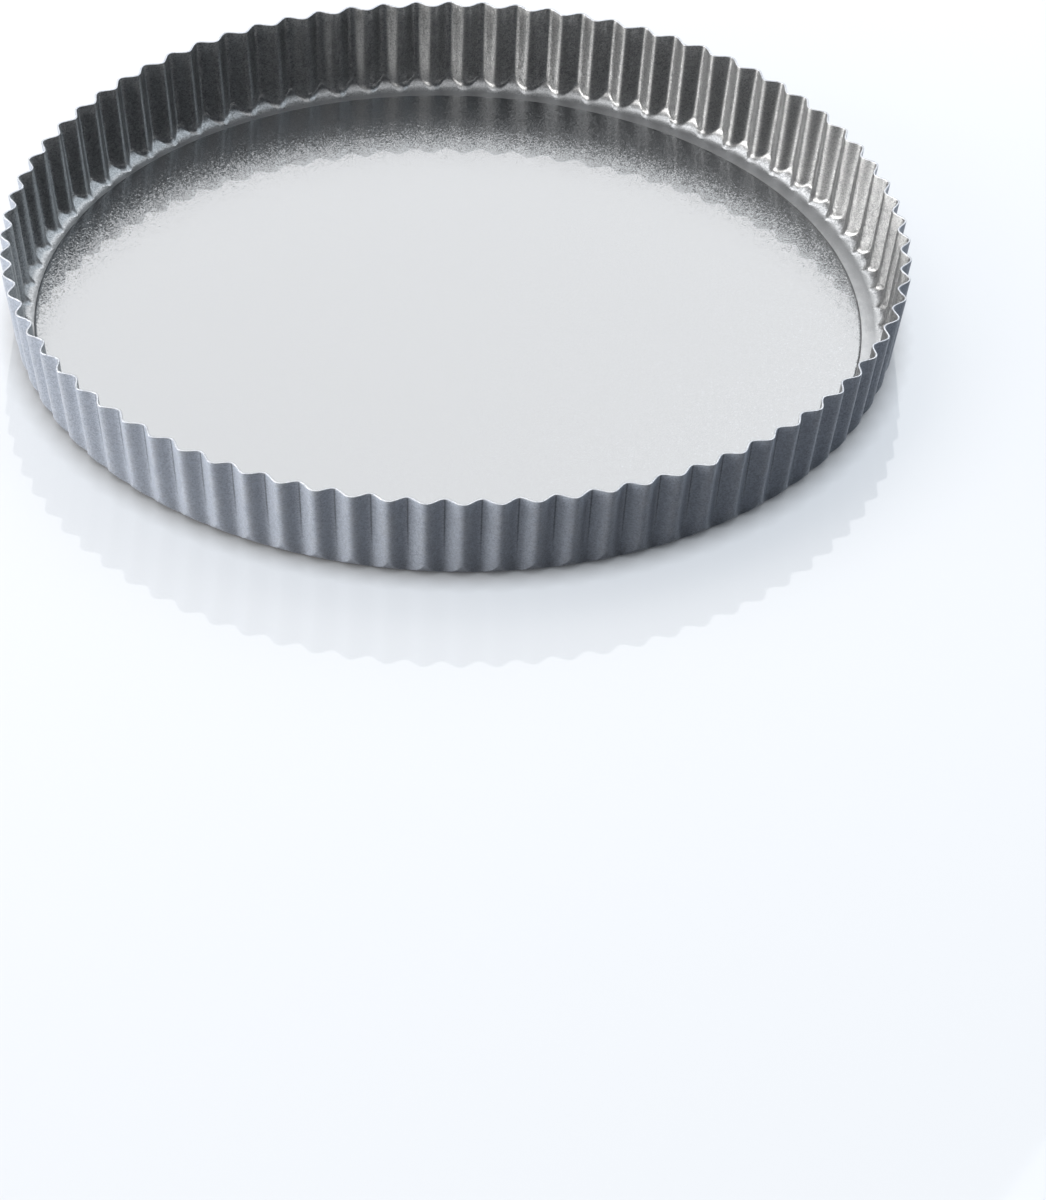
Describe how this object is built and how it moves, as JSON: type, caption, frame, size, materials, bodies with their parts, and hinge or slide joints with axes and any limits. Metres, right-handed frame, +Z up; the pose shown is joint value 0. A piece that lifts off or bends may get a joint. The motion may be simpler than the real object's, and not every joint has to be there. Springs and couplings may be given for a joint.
{
  "type": "fluted loose-bottom tart pan",
  "caption": "Round shallow baking pan: a pressed ring with a fluted, outward-leaning wall and a flat inner ledge, and a flat loose base that lifts out with the tart.",
  "frame": {"origin": "on the ring's axis, in the plane that the ring's ledge stands on", "axes": "+Z up along the ring's axis, towards the rim; +Y away from the picture's camera, +X to its right"},
  "size_m": [0.28, 0.28, 0.0295],
  "materials": {
    "ring_coat": "satin dark grey non-stick coat with a fine metallic speckle on pressed steel sheet",
    "base_coat": "smooth dark grey non-stick coat with a fine metallic speckle on flat steel sheet"
  },
  "bodies": {
    "ring": {"fluted_ring": "ring_coat"},
    "base": {"loose_base": "base_coat"}
  },
  "joints": [
    {"name": "base_lift", "type": "slide", "parent": "ring", "child": "base", "axis": [0, 0, 1], "range_m": [0, 0.06]}
  ]
}
